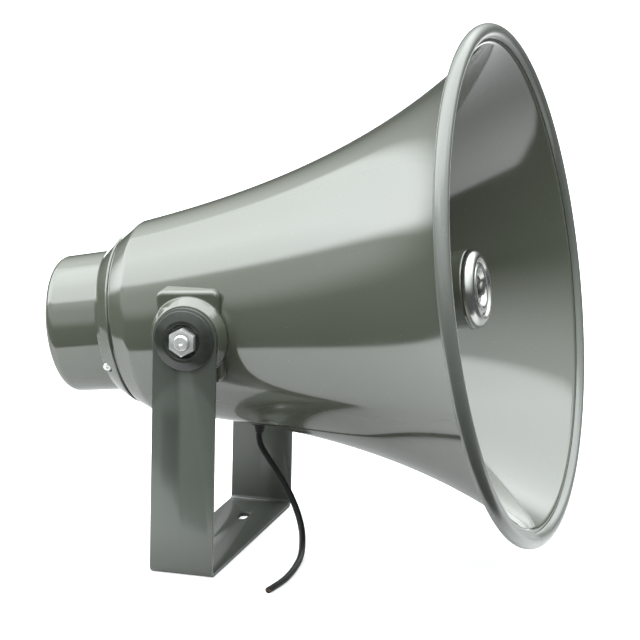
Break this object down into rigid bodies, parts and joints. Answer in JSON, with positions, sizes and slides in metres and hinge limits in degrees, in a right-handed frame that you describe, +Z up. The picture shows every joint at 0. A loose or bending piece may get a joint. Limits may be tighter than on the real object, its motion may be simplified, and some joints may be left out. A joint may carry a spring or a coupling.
{
  "type": "pa horn speaker",
  "caption": "Re-entrant public-address horn speaker with spun metal bell, chrome-capped reflector, rear compression driver, tilting U bracket and pigtail cable",
  "frame": {"origin": "centre of the underside of the bracket's base", "axes": "+Z up from the base, +X the way the horn fires (tilted up by 9.83 degrees at rest), +Y to the horn's left"},
  "size_m": [0.4051, 0.4, 0.421],
  "materials": {
    "horn_enamel": "gloss",
    "bracket_paint": "satin",
    "trim_paint": "satin",
    "chrome": "polished",
    "zinc": "satin",
    "dark_steel": "satin",
    "driver_steel": "satin",
    "ferrite": "matte",
    "phenolic": "matte",
    "brass": "satin",
    "cast_metal": "satin",
    "rubber": "matte",
    "cable_jacket": "satin",
    "black_plastic": "satin"
  },
  "bodies": {
    "bracket": {"bracket": "bracket_paint", "dish_washer_right": "dark_steel", "dish_washer_left": "dark_steel", "speaker_cable": "cable_jacket"},
    "horn": {"bell": "horn_enamel", "rim_trim": "trim_paint", "mounting_ring": "horn_enamel", "driver_cover": "horn_enamel", "cover_screw_1": "zinc", "cover_screw_2": "zinc", "driver_screw_1": "zinc", "driver_screw_2": "zinc", "driver_screw_3": "zinc", "driver_screw_4": "zinc", "flange_screw_1": "zinc", "flange_screw_2": "zinc", "flange_screw_3": "zinc", "flange_screw_4": "zinc", "gasket": "rubber", "diaphragm": "phenolic", "phase_plug": "black_plastic", "front_plate": "driver_steel", "magnet": "ferrite", "yoke": "driver_steel", "terminal_block": "black_plastic", "terminal_screw_1": "brass", "terminal_screw_2": "brass", "driver_lead": "cable_jacket", "throat_tube": "cast_metal", "spider": "cast_metal", "reflector": "horn_enamel", "reflector_cap": "chrome", "cap_washer": "zinc", "tie_bolt": "zinc", "tie_spacer": "zinc", "tie_nut": "zinc", "lug_right": "horn_enamel", "lug_left": "horn_enamel", "stud_right": "zinc", "stud_left": "zinc", "stud_nut_right": "zinc", "stud_nut_left": "zinc", "cable_gland": "rubber"}
  },
  "joints": [
    {"name": "horn_tilt", "type": "hinge", "parent": "bracket", "child": "horn", "pos_m": [0, 0, 0.1846], "axis": [0, -1, 0], "range_deg": [-45, 80], "deforming": ["speaker_cable"]}
  ]
}
